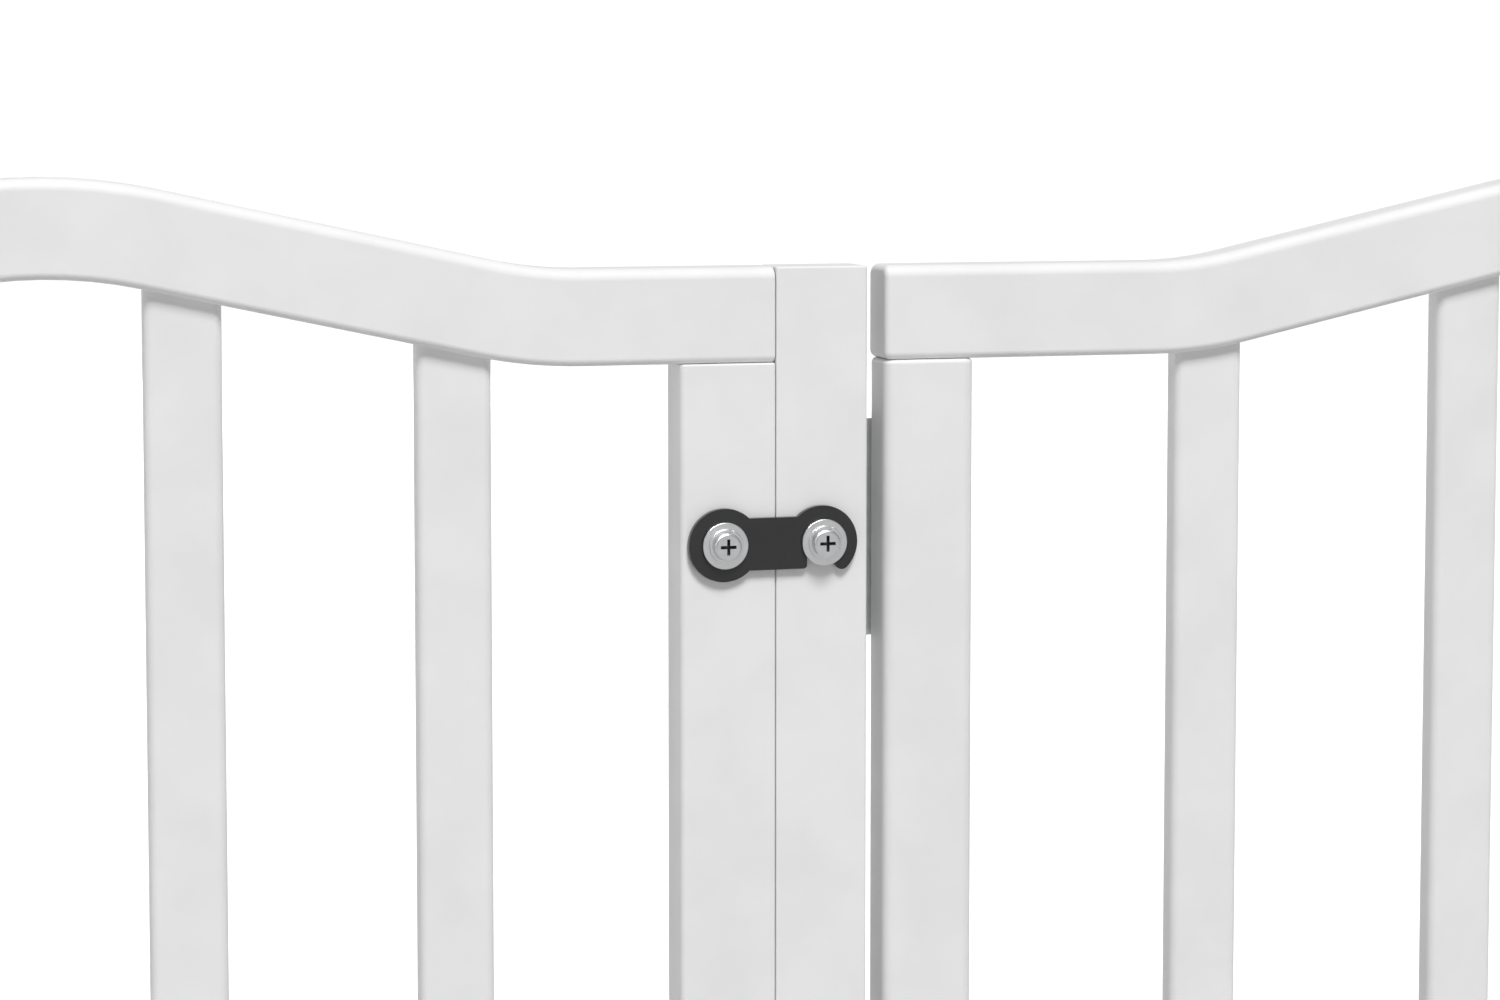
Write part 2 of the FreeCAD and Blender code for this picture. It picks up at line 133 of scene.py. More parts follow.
def white_paint(name, grain_axis, turn=0.0):
    """Sprayed satin paint over grain that runs along Z, or along X turned about Z."""
    finish, tree, shader, place = new_finish(name)
    along = {"X": (1 / GRAIN_STRETCH, 1, 1), "Z": (1, 1, 1 / GRAIN_STRETCH)}[grain_axis]
    bar = add_node(tree, "ShaderNodeMapping", {"vector_type": "TEXTURE"},
                   {"Vector": place}, Rotation=(0, 0, turn)).outputs[0]
    streaks = add_node(tree, "ShaderNodeMapping", links={"Vector": bar}, Scale=along).outputs[0]
    grain = add_node(tree, "ShaderNodeTexNoise", links={"Vector": streaks},
                     Scale=1 / (2 * GRAIN_WIDTH), Detail=3.0, Roughness=0.55).outputs[0]
    clouds = add_node(tree, "ShaderNodeTexNoise", links={"Vector": bar},
                      Scale=1 / CLOUD_SIZE, Detail=3.0).outputs[0]
    peel = add_node(tree, "ShaderNodeTexNoise", links={"Vector": place},
                    Scale=1 / ORANGE_PEEL, Detail=1.0).outputs[0]
    long_spots = add_node(tree, "ShaderNodeMapping", links={"Vector": bar},
                          Scale=tuple(KNOT_SQUEEZE if s < 1 else 1 for s in along)).outputs[0]
    knots = add_node(tree, "ShaderNodeTexVoronoi", links={"Vector": long_spots},
                     Scale=1 / KNOT_SPACING, Randomness=0.9).outputs["Distance"]
    smudge = add_node(tree, "ShaderNodeMapRange", {"interpolation_type": "SMOOTHSTEP"},
                      {"Value": knots}, From_Min=KNOT_CORE, From_Max=KNOT_RIM, To_Min=1.0,
                      To_Max=0.0).outputs[0]
    tone = add_node(tree, "ShaderNodeValToRGB", links={"Fac": clouds})
    tone.color_ramp.elements[0].position = 0.35
    tone.color_ramp.elements[0].color = linear("#E5E5E5")
    tone.color_ramp.elements[1].position = 0.65
    tone.color_ramp.elements[1].color = linear("#EAEAEA")
    coat = add_node(tree, "ShaderNodeMix", {"data_type": "RGBA"})
    tree.links.new(smudge, coat.inputs["Factor"])
    tree.links.new(tone.outputs[0], coat.inputs["A"])
    coat.inputs["B"].default_value = linear("#DCDCDC")
    tree.links.new(coat.outputs["Result"], shader.inputs["Base Color"])
    gloss = add_node(tree, "ShaderNodeMapRange", links={"Value": grain}, To_Min=SATIN,
                     To_Max=MATT).outputs[0]
    tree.links.new(gloss, shader.inputs["Roughness"])
    swell = add_node(tree, "ShaderNodeBump", links={"Height": grain}, Strength=0.10,
                     Distance=0.10 * MM).outputs[0]
    skin = add_node(tree, "ShaderNodeBump", links={"Height": peel, "Normal": swell},
                    Strength=0.12, Distance=0.02 * MM).outputs[0]
    tree.links.new(skin, shader.inputs["Normal"])
    shader.inputs["IOR"].default_value = 1.48
    return finish


def joint_named(name):
    """The record's entry for one joint."""
    return next(joint for joint in frame["joints"] if joint["name"] == name)


REST_FOLD = -math.radians(joint_named("end_hinge")["range_deg"][0])
UPRIGHT_PAINT = white_paint("satin_white_paint_upright", "Z")
LEVEL_PAINT = white_paint("satin_white_paint_level", "X")
TURNED_PAINT = white_paint("satin_white_paint_level_turned", "X", -REST_FOLD)
print("end panel is turned forward by", round(math.degrees(REST_FOLD)), "degrees")

# %% [markdown]
# ## Metals and dowels
#
# The washers and screws are mild steel with bright zinc plate: a pale metal with a soft
# sheen, faint cloudy patches and fine marks. The hinge leaves and pins have the same plate
# on rolled strip, which is rougher and looks duller, so the two share one function. The walls
# and bottom of a screw's cross get a dark grey finish that is painted shade, standing in for
# the shade inside the recess. The hook is pressed steel with a black epoxy coat, which is not
# metallic to the eye but glossy on its rounded rim. The dowels inside the joints are plain beech.

# %% Zinc plate, black coat and beech


def zinc_plate(name, smooth, rough):
    """Zinc-plated steel whose cloudy sheen lies between two roughnesses."""
    finish, tree, shader, place = new_finish(name)
    cloud = add_node(tree, "ShaderNodeTexNoise", links={"Vector": place}, Scale=1 / (4 * MM),
                     Detail=4.0).outputs[0]
    marks = add_node(tree, "ShaderNodeTexNoise", links={"Vector": place},
                     Scale=1 / (0.4 * MM), Detail=2.0).outputs[0]
    tone = add_node(tree, "ShaderNodeValToRGB", links={"Fac": cloud})
    tone.color_ramp.elements[0].color = linear("#D2D3D4")
    tone.color_ramp.elements[1].color = linear("#E9EAEB")
    sheen = add_node(tree, "ShaderNodeMapRange", links={"Value": cloud}, To_Min=smooth,
                     To_Max=rough).outputs[0]
    relief = add_node(tree, "ShaderNodeBump", links={"Height": marks}, Strength=0.15,
                      Distance=0.02 * MM).outputs[0]
    tree.links.new(tone.outputs[0], shader.inputs["Base Color"])
    tree.links.new(sheen, shader.inputs["Roughness"])
    tree.links.new(relief, shader.inputs["Normal"])
    shader.inputs["Metallic"].default_value = 1.0
    return finish


def black_epoxy():
    """Black epoxy coat baked on pressed steel."""
    finish, tree, shader, place = new_finish("black_epoxy_coated_steel")
    peel = add_node(tree, "ShaderNodeTexNoise", links={"Vector": place}, Scale=1 / (0.7 * MM),
                    Detail=2.0).outputs[0]
    patch = add_node(tree, "ShaderNodeTexNoise", links={"Vector": place}, Scale=1 / (8 * MM),
                     Detail=2.0).outputs[0]
    tone = add_node(tree, "ShaderNodeValToRGB", links={"Fac": patch})
    tone.color_ramp.elements[0].color = linear("#222223")
    tone.color_ramp.elements[1].color = linear("#29292A")
    relief = add_node(tree, "ShaderNodeBump", links={"Height": peel}, Strength=0.10,
                      Distance=0.03 * MM).outputs[0]
    gloss = add_node(tree, "ShaderNodeMapRange", links={"Value": patch}, To_Min=0.12,
                     To_Max=0.18).outputs[0]
    tree.links.new(tone.outputs[0], shader.inputs["Base Color"])
    tree.links.new(gloss, shader.inputs["Roughness"])
    tree.links.new(relief, shader.inputs["Normal"])
    shader.inputs["IOR"].default_value = 1.5
    return finish


def painted_shade_recess():
    """Painted shade: dark grey metal for the walls and bottom of a stamped recess."""
    finish, tree, shader, place = new_finish("painted_shade_in_recess")
    shade_mottle = add_node(tree, "ShaderNodeTexNoise", links={"Vector": place}, Scale=1 / (0.8 * MM),
                     Detail=2.0).outputs[0]
    tone = add_node(tree, "ShaderNodeValToRGB", links={"Fac": shade_mottle})
    # Painted shade: dark greys that make the recess walls read as shaded.
    tone.color_ramp.elements[0].color = linear("#3A3A3B")
    tone.color_ramp.elements[1].color = linear("#5C5C5D")
    tree.links.new(tone.outputs[0], shader.inputs["Base Color"])
    shader.inputs["Metallic"].default_value = 0.5
    shader.inputs["Roughness"].default_value = 0.7
    return finish


def bare_beech():
    """Unpainted beech with short flecks."""
    finish, tree, shader, place = new_finish("bare_beech")
    flecks = add_node(tree, "ShaderNodeTexNoise", links={"Vector": place},
                      Scale=1 / (1.2 * MM), Detail=3.0).outputs[0]
    tone = add_node(tree, "ShaderNodeValToRGB", links={"Fac": flecks})
    tone.color_ramp.elements[0].color = linear("#B98F63")
    tone.color_ramp.elements[1].color = linear("#D8B68C")
    tree.links.new(tone.outputs[0], shader.inputs["Base Color"])
    shader.inputs["Roughness"].default_value = 0.6
    return finish


ZINC = zinc_plate("bright_zinc_plated_steel", 0.24, 0.38)
ROLLED_ZINC = zinc_plate("rolled_zinc_plated_steel", 0.46, 0.60)
PAINTED_SHADE_FINISH = painted_shade_recess()
BLACK = black_epoxy()
BEECH = bare_beech()

# %% [markdown]
# ## From a bmesh to a piece
#
# Each piece is shaped as a bmesh and then handed over. Its faces are shaded smooth except
# across sharp corners, and a weighted normal modifier keeps the flat faces flat beside their
# rounded edges. The piece is then given its finish and parented to an empty for the body it
# moves with, and the CAD node it stands for is hidden.

# %% Hand over a piece
SHARP_DEGREES = 38


def hand_over(bm, name, body, finish, node, place=None, second_finish=None):
    """Make an object from a bmesh, at its place, riding on a body in place of a CAD node."""
    if place is not None:
        bm.transform(place)
    bmesh.ops.recalc_face_normals(bm, faces=bm.faces[:])
    mesh = bpy.data.meshes.new(name)
    bm.to_mesh(mesh)
    bm.free()
    mesh.polygons.foreach_set("use_smooth", [True] * len(mesh.polygons))
    mesh.set_sharp_from_angle(angle=math.radians(SHARP_DEGREES))
    mesh.materials.append(finish)
    if second_finish:
        mesh.materials.append(second_finish)
    piece = bpy.data.objects.new(name, mesh)
    bpy.context.scene.collection.objects.link(piece)
    weights = piece.modifiers.new("flat_faces_stay_flat", "WEIGHTED_NORMAL")
    weights.keep_sharp = True
    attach(piece, body)
    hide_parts(node)
    return piece


def soften(bm, edges, size, segments=4):
    """Round edges off with a bevel."""
    bmesh.ops.bevel(bm, geom=edges, affect="EDGES", offset=size, offset_type="OFFSET",
                    segments=segments, profile=0.5, material=-1, clamp_overlap=True)


def sharp_edges(bm, degrees=40):
    """The edges where two faces meet at more than an angle."""
    limit = math.radians(degrees)
    return [e for e in bm.edges if len(e.link_faces) == 2 and e.calc_face_angle() > limit]


print("corners over", SHARP_DEGREES, "degrees stay sharp")


# %% [markdown]
# ## The end panel's place
#
# The end panel is the same as the middle one. It is built straight, one module further to
# the right, and then turned about its hinge by the angle at which the gate stands.

# %% Where the end panel goes
hinge_axis = {name: Vector(joint_named(name)["pos_m"])
              for name in ("door_hinge", "frame_hinge", "end_hinge")}
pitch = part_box("middle_left_stile")[0].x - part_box("hinge_post")[0].x
to_hinge = Matrix.Translation(hinge_axis["end_hinge"])
turn_forward = to_hinge @ Matrix.Rotation(-REST_FOLD, 4, "Z") @ to_hinge.inverted()
END_PLACE = turn_forward @ Matrix.Translation((pitch, 0, 0))
print("module pitch", round(pitch * 1000, 1), "mm")

# %% [markdown]
# ## Straight bars
#
# Posts, stiles, bottom rails, slats and the threshold are planed bars. On the real gate a
# router rounds their long edges, and sandpaper breaks the edges of their ends. So a bar is
# a cube stretched to the CAD box, with one bevel for the long edges and a smaller one for
# the ends. The two edges that meet at the door's seam are hardly broken, and the door's
# closing edge is planed a little askew: it nearly touches the post in front and clears it
# behind, so the seam is a fine line and the door still opens.

# %% Bars from CAD boxes
DOOR_EDGE = 2.0 * MM
PANEL_EDGE = 4.0 * MM
POST_EDGE = 1.2 * MM
SLAT_EDGE = 3.0 * MM
CLOSE_EDGE = 0.7 * MM
END_EDGE = 1.4 * MM
LEADING_EDGE = 0.6 * MM
NEAR = 1e-6


def runs_along(edge, axis, length):
    """Whether an edge runs along an axis for more than half of the bar's length."""
    return abs((edge.verts[0].co - edge.verts[1].co)[axis]) > length / 2


def make_bar(low, high, long_edge, end_edge, close_side=0):
    """Make a bar between two corners, rounded less at its ends and on its closing side."""
    bm = bmesh.new()
    bmesh.ops.create_cube(bm, size=1.0)
    size, middle = high - low, (low + high) / 2
    bmesh.ops.scale(bm, vec=size, verts=bm.verts[:])
    bmesh.ops.translate(bm, vec=middle, verts=bm.verts[:])
    axis = max(range(3), key=lambda i: size[i])
    long_edges = [e for e in bm.edges if runs_along(e, axis, size[axis])]
    close = [e for e in long_edges if (e.verts[0].co.x - middle.x) * close_side > 0]
    soften(bm, [e for e in long_edges if e not in close], long_edge, segments=6)
    close = [e for e in bm.edges if (e.verts[0].co.x - middle.x) * close_side > 0
             and runs_along(e, axis, size[axis])]
    if close:
        soften(bm, close, CLOSE_EDGE, segments=4)
    rim = [e for e in bm.edges if any(all(abs(v.co[axis] - end) < NEAR for v in e.verts)
                                      for end in (low[axis], high[axis]))]
    soften(bm, rim, end_edge, segments=4)
    return bm


def lean_forward(bm, edge_x, depth):
    """Plane the door's closing edge askew: it stands out in front and clears behind."""
    for vert in bm.verts:
        if vert.co.x > edge_x - LEADING_EDGE:
            vert.co.x += LEADING_EDGE * (0.5 - vert.co.y / depth)


def add_bar(node, body, paint, long_edge, source=None, place=None, close_side=0):
    """Add the bar that stands for a CAD node, or a moved copy of another node's bar."""
    low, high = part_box(source or node)
    bm = make_bar(low, high, long_edge, END_EDGE, close_side)
    if body == "door" and close_side > 0:
        lean_forward(bm, high.x, high.y - low.y)
    return hand_over(bm, f"{node}_bar", body, paint, node, place)


add_bar("hinge_post", "door_frame", UPRIGHT_PAINT, POST_EDGE)
add_bar("latch_post", "door_frame", UPRIGHT_PAINT, POST_EDGE, close_side=-1)
add_bar("threshold", "door_frame", LEVEL_PAINT, POST_EDGE)

UPRIGHTS = ["left_stile", "right_stile", "slat_1", "slat_2", "slat_3", "slat_4"]
for panel, body in (("door", "door"), ("middle", "middle_panel"), ("end", "end_panel")):
    model = "middle" if panel == "end" else panel
    place = END_PLACE if panel == "end" else None
    stile_edge = DOOR_EDGE if panel == "door" else PANEL_EDGE
    for part in UPRIGHTS:
        add_bar(f"{panel}_{part}", body, UPRIGHT_PAINT,
                SLAT_EDGE if part.startswith("slat") else stile_edge,
                source=f"{model}_{part}", place=place,
                close_side=1 if (panel, part) == ("door", "right_stile") else 0)
    add_bar(f"{panel}_bottom_rail", body, TURNED_PAINT if place else LEVEL_PAINT, stile_edge,
            source=f"{model}_bottom_rail", place=place)

# %% [markdown]
# ## Arched top rails
#
# A top rail is sawn from a wider board: level at both ends, rising along two straight legs
# to a round crown. A curve with a bevel could draw it, but the piece is made the way a
# moulding is run, with true arcs and few faces. A rounded section is extruded along each
# straight stretch and spun round the centre of each bend, and last the two ends are
# rounded. The upper edges are rounder than the lower ones.

# %% Rails from a swept section
ARCH_ANGLE = math.radians(12.4)
BEND_INSET = 105 * MM
BEND_RADIUS = 125 * MM
CROWN_RADIUS = 165 * MM
RAIL_HEIGHT = 30 * MM
BEND_STEPS = 8
RAIL_TOP_EDGE = 3.8 * MM
RAIL_LOWER_EDGE = 2.4 * MM
RAIL_END_EDGE = 2.3 * MM

post_low, post_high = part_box("hinge_post")
rail_top = post_high.z
rail_depth = post_high.y - post_low.y
module_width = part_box("latch_post")[1].x - post_low.x


def rounded_section(x, height, depth):
    """A bmesh with one upright face across the start of a rail, rounder at its top."""
    bm = bmesh.new()
    bmesh.ops.create_grid(bm, x_segments=1, y_segments=1, size=0.5)
    bmesh.ops.rotate(bm, cent=(0, 0, 0), matrix=Matrix.Rotation(math.pi / 2, 3, "Y"),
                     verts=bm.verts[:])
    bmesh.ops.scale(bm, vec=(1, depth, height), verts=bm.verts[:])
    bmesh.ops.translate(bm, vec=(x, 0, rail_top - height / 2), verts=bm.verts[:])
    for upper, size in ((True, RAIL_TOP_EDGE), (False, RAIL_LOWER_EDGE)):
        corners = [v for v in bm.verts if (v.co.z > rail_top - height / 2) == upper]
        bmesh.ops.bevel(bm, geom=corners, affect="VERTICES", offset=size,
                        offset_type="OFFSET", segments=6, profile=0.5, material=-1)
    return bm


def run_straight(bm, face, step):
    """Extrude the leading face along a vector and return the new leading face."""
    made = bmesh.ops.extrude_face_region(bm, geom=[face])["geom"]
    bmesh.ops.translate(bm, vec=step, verts=[v for v in made if isinstance(v, bmesh.types.BMVert)])
    return next(f for f in made if isinstance(f, bmesh.types.BMFace))


def run_round(bm, face, centre, angle):
    """Spin the leading face about a level axis and return the new leading face."""
    made = bmesh.ops.spin(bm, geom=[face], cent=centre, axis=(0, 1, 0), dvec=(0, 0, 0),
                          angle=angle, steps=BEND_STEPS, use_duplicate=False)["geom_last"]
    return next(f for f in made if isinstance(f, bmesh.types.BMFace))


def make_rail(left, right, middle, end_edge):
    """Sweep a rail from left to right with its crown over the middle."""
    bend_reach = BEND_RADIUS * math.tan(ARCH_ANGLE / 2)
    crown_reach = CROWN_RADIUS * math.tan(ARCH_ANGLE)
    half = module_width / 2
    crown_half = CROWN_RADIUS * math.sin(ARCH_ANGLE)
    slope_start = half - BEND_INSET - bend_reach * math.cos(ARCH_ANGLE)
    leg = (slope_start - crown_half) / math.cos(ARCH_ANGLE)
    up = Vector((math.cos(ARCH_ANGLE), 0, math.sin(ARCH_ANGLE))) * leg
    bend_x = half - BEND_INSET + bend_reach
    bm = rounded_section(left, RAIL_HEIGHT, rail_depth)
    face = run_straight(bm, next(iter(bm.faces)), (middle - bend_x - left, 0, 0))
    face = run_round(bm, face, (middle - bend_x, 0, rail_top + BEND_RADIUS), -ARCH_ANGLE)
    face = run_straight(bm, face, up)
    crown_z = (rail_top + BEND_RADIUS * (1 - math.cos(ARCH_ANGLE)) + up.z
               - CROWN_RADIUS * math.cos(ARCH_ANGLE))
    face = run_round(bm, face, (middle, 0, crown_z), 2 * ARCH_ANGLE)
    face = run_straight(bm, face, (up.x, 0, -up.z))
    face = run_round(bm, face, (middle + bend_x, 0, rail_top + BEND_RADIUS), -ARCH_ANGLE)
    face = run_straight(bm, face, (right - middle - bend_x, 0, 0))
    ends = [e for e in bm.edges if all(abs(v.co.x - left) < NEAR for v in e.verts)
            or all(abs(v.co.x - right) < NEAR for v in e.verts)]
    soften(bm, ends, end_edge, segments=5)
    return bm


for panel, body in (("door", "door"), ("middle", "middle_panel"), ("end", "end_panel")):
    model = "door" if panel == "door" else "middle"
    low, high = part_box(f"{model}_top_rail")
    frame_middle = 0.0 if panel == "door" else pitch
    bm = make_rail(low.x, high.x, frame_middle, CLOSE_EDGE if panel == "door" else RAIL_END_EDGE)
    if panel == "door":
        lean_forward(bm, high.x, rail_depth)
    rail = hand_over(bm, f"{panel}_top_rail_arch", body,
                     TURNED_PAINT if panel == "end" else LEVEL_PAINT, f"{panel}_top_rail",
                     END_PLACE if panel == "end" else None)
    print(rail.name, "top at", round(max(v.co.z for v in rail.data.vertices) * 1000, 1), "mm")

# %% [markdown]
# ## Latch hook
#
# The hook is pressed from 2 mm steel: a round ear that turns on the door's screw, a bar,
# and a second ear with a slot that drops over the screw in the post. Its outline is one
# vertex taken for a walk: extruded along the straight edges and spun round the ears. The
# outline and the screw hole are then filled, thickened, and the rim is rounded.

# %% Hook from a walked outline
EAR_RADIUS = 11.5 * MM
BAR_HALF = 8.2 * MM
SLOT_HALF = 4.6 * MM
SLOT_CORNER = 1.2 * MM
TIP_RADIUS = 2.3 * MM
EAR_SHIFT = 0.4 * MM
SLOT_SHIFT = 0.8 * MM
RIM = 0.7 * MM
HOLE_CLEARANCE = 0.1 * MM
DEGREES_A_STEP = 7.5
FRONT = (0, -1, 0)

bush_low, bush_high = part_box("latch_pivot_bush")
pivot = (bush_low + bush_high) / 2
keeper = sum(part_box("latch_keeper_bush"), Vector()) / 2
hook_low, hook_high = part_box("latch_hook")


def walk_line(bm, vert, x, z):
    """Extrude a vertex to a point and return the new vertex."""
    made = bmesh.ops.extrude_vert_indiv(bm, verts=[vert])["verts"][0]
    made.co = Vector((x, vert.co.y, z))
    return made


def walk_arc(bm, vert, x, z, degrees):
    """Spin a vertex about a point, anticlockwise seen from the front."""
    steps = max(3, round(abs(degrees) / DEGREES_A_STEP))
    made = bmesh.ops.spin(bm, geom=[vert], cent=(x, vert.co.y, z), axis=FRONT,
                          dvec=(0, 0, 0), angle=math.radians(degrees), steps=steps)
    return next(v for v in made["geom_last"] if isinstance(v, bmesh.types.BMVert))


def make_hook():
    """Make the hook's plate around the pivot and the keeper screw."""
    bm = bmesh.new()
    join = math.asin(BAR_HALF / EAR_RADIUS)
    join_x = EAR_RADIUS * math.cos(join)
    ear_x = keeper.x - EAR_SHIFT
    slot_x = keeper.x - SLOT_SHIFT
    tip_x = slot_x + SLOT_HALF + TIP_RADIUS
    tip_z = -math.sqrt((EAR_RADIUS - TIP_RADIUS) ** 2 - (tip_x - ear_x) ** 2)
    tip_turn = math.degrees(math.atan2(tip_z, tip_x - ear_x))
    start = bm.verts.new((pivot.x + join_x, hook_high.y, pivot.z + BAR_HALF))
    at = walk_arc(bm, start, pivot.x, pivot.z, 360 - 2 * math.degrees(join))
    at = walk_line(bm, at, slot_x - SLOT_HALF - SLOT_CORNER, pivot.z - BAR_HALF)
    at = walk_arc(bm, at, at.co.x, at.co.z + SLOT_CORNER, 90)
    at = walk_line(bm, at, slot_x - SLOT_HALF, pivot.z)
    at = walk_arc(bm, at, slot_x, pivot.z, -180)
    at = walk_line(bm, at, slot_x + SLOT_HALF, pivot.z + tip_z)
    at = walk_arc(bm, at, tip_x, pivot.z + tip_z, 180 + tip_turn)
    at = walk_arc(bm, at, ear_x, pivot.z, 180 - math.degrees(join) - tip_turn)
    walk_line(bm, at, start.co.x, start.co.z)
    hole = bmesh.ops.create_circle(bm, cap_ends=False, segments=48,
                                   radius=(bush_high.x - bush_low.x) / 2 + HOLE_CLEARANCE)["verts"]
    bmesh.ops.rotate(bm, cent=(0, 0, 0), matrix=Matrix.Rotation(math.pi / 2, 3, "X"),
                     verts=hole)
    bmesh.ops.translate(bm, vec=(pivot.x, hook_high.y, pivot.z), verts=hole)
    bmesh.ops.remove_doubles(bm, verts=bm.verts[:], dist=0.01 * MM)
    bmesh.ops.triangle_fill(bm, use_beauty=True, use_dissolve=False, edges=bm.edges[:])
    made = bmesh.ops.extrude_face_region(bm, geom=bm.faces[:])["geom"]
    bmesh.ops.translate(bm, vec=(0, hook_low.y - hook_high.y, 0),
                        verts=[v for v in made if isinstance(v, bmesh.types.BMVert)])
    bmesh.ops.recalc_face_normals(bm, faces=bm.faces[:])
    soften(bm, sharp_edges(bm, 60), RIM, segments=4)
    return bm


hand_over(make_hook(), "latch_hook_plate", "latch_hook", BLACK, "latch_hook")
print("hook reaches", round((keeper.x - pivot.x) * 1000, 1), "mm from screw to screw")

# %% [markdown]
# ## Turned hardware
#
# Washers, bushes and screws are turned or pressed round an axis, so each is a half
# profile, drawn as radius and height, and spun once round. A cylinder with bevels would do
# for a washer, but not for a screw with its shank, shoulder and crown.

# %% A lathe
TURN_STEPS = 56
UP_AXIS = (0, 0, 1)
WELD = 0.001 * MM


def lathe(profile, edge, steps=TURN_STEPS):
    """Spin a profile of (radius, height) about Z and round its sharp edges."""
    bm = bmesh.new()
    verts = [bm.verts.new((radius, 0, height)) for radius, height in profile]
    closed = profile[0][0] > 0
    pairs = zip(verts, verts[1:] + ([verts[0]] if closed else []))
    edges = [bm.edges.new(pair) for pair in pairs]
    bmesh.ops.spin(bm, geom=verts + edges, cent=(0, 0, 0), axis=UP_AXIS, dvec=(0, 0, 0),
                   angle=2 * math.pi, steps=steps, use_merge=True)
    bmesh.ops.remove_doubles(bm, verts=bm.verts[:], dist=WELD)
    bmesh.ops.recalc_face_normals(bm, faces=bm.faces[:])
    if edge:
        soften(bm, sharp_edges(bm, 35), edge, segments=3)
    return bm


def arc_points(radius, centre_radius, centre_height, start, end, steps):
    """Points of a round shoulder for a profile, from one angle to another in degrees."""
    angles = [math.radians(start + (end - start) * i / steps) for i in range(steps + 1)]
    return [(centre_radius + radius * math.cos(a), centre_height + radius * math.sin(a))
            for a in angles]


def facing_front(point):
    """Stand a turned part that was made along Z so that it points to the front."""
    return Matrix.Translation(point) @ Matrix.Rotation(math.pi / 2, 4, "X")


print("a full turn has", TURN_STEPS, "steps")

# %% [markdown]
# ## Cross recesses
#
# A punch stamps the cross into each screw head, narrower at its bottom than at its mouth.
# Here two tapered blades are taken out of the head with exact booleans, because no operator
# of bmesh cuts one solid out of another. The walls that they leave get a dark grey finish,
# painted shade for the inside of the cross.

# %% Carving the crosses
RECESS_LENGTH = 6.3 * MM
RECESS_WIDTH = 1.15 * MM
RECESS_DEPTH = 1.9 * MM
BLADE_TAPER = (0.6, 0.75, 1)
HAIR = 0.01 * MM


def carve(bm, cutters):
    """Take blades out of a solid with exact booleans and return the result."""
    temps = []
    for index, shape in enumerate([bm] + cutters):
        mesh = bpy.data.meshes.new(f"carving_{index}")
        shape.to_mesh(mesh)
        shape.free()
        temps.append(bpy.data.objects.new(f"carving_{index}", mesh))
        bpy.context.scene.collection.objects.link(temps[-1])
    for cutter in temps[1:]:
        blade = temps[0].modifiers.new("blade", "BOOLEAN")
        blade.object = cutter
        blade.operation = "DIFFERENCE"
        blade.solver = "EXACT"
    solid = temps[0].evaluated_get(bpy.context.evaluated_depsgraph_get())
    result = bmesh.new()
    result.from_mesh(solid.to_mesh())
    for temp in temps:
        mesh = temp.data
        bpy.data.objects.remove(temp)
        bpy.data.meshes.remove(mesh)
    return result


def cross_blades(top, length, width, depth):
    """Two tapered blades that cut a cross into a head whose top is at a height."""
    blades = []
    for turn in (0, math.pi / 2):
        bm = bmesh.new()
        bmesh.ops.create_cube(bm, size=1.0)
        bmesh.ops.scale(bm, vec=(length, width, 2 * depth), verts=bm.verts[:])
        lower = [v for v in bm.verts if v.co.z < 0]
        bmesh.ops.scale(bm, vec=BLADE_TAPER, verts=lower)
        bmesh.ops.rotate(bm, cent=(0, 0, 0), matrix=Matrix.Rotation(turn, 3, "Z"),
                         verts=bm.verts[:])
        bmesh.ops.translate(bm, vec=(0, 0, top), verts=bm.verts[:])
        blades.append(bm)
    return blades


def paint_shade_in_cross(bm, top, reach):
    """Give the walls and the bottom of a cross recess the second finish, the painted shade."""
    for face in bm.faces:
        centre = face.calc_center_median()
        inside = math.hypot(centre.x, centre.y) < reach / 2
        if inside and top - RECESS_DEPTH - HAIR < centre.z < top - HAIR:
            # Painted shade: recess faces take the dark second finish.
            face.material_index = 1


print("cross of the latch screws:", round(RECESS_LENGTH / MM, 1), "mm across")

# %% [markdown]
# ## Latch washers and screws
#
# On each screw, from the wood outwards, there are a bush, a flat washer, a spring washer
# and a pan head with a flat crown. The spring washer is a square wire spun a little short of
# a full turn, with a slight rise, which leaves its split open.

# %% Washers and screws of the latch
WASHER_BORE, WASHER_EDGE = 2.2 * MM, 0.25 * MM
SPRING_BORE, WIRE_EDGE = 2.3 * MM, 0.22 * MM
WIRE_SHARE = 0.8
SPLIT_DEGREES = 10
SPLIT_PLACE = 70
HEAD_HEIGHT = 2.1 * MM
SHOULDER, SHOULDER_STEPS = 0.8 * MM, 6
PAN_SHANK = 2.0 * MM
TIP_LENGTH, TIP_SHARE = 1.2 * MM, 0.6


def make_washer(node):
    """A flat washer or bush with the size of its CAD node."""
    low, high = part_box(node)
    outer, thick = (high.x - low.x) / 2, high.y - low.y
    return lathe([(WASHER_BORE, 0), (outer, 0), (outer, thick), (WASHER_BORE, thick)],
                 WASHER_EDGE)


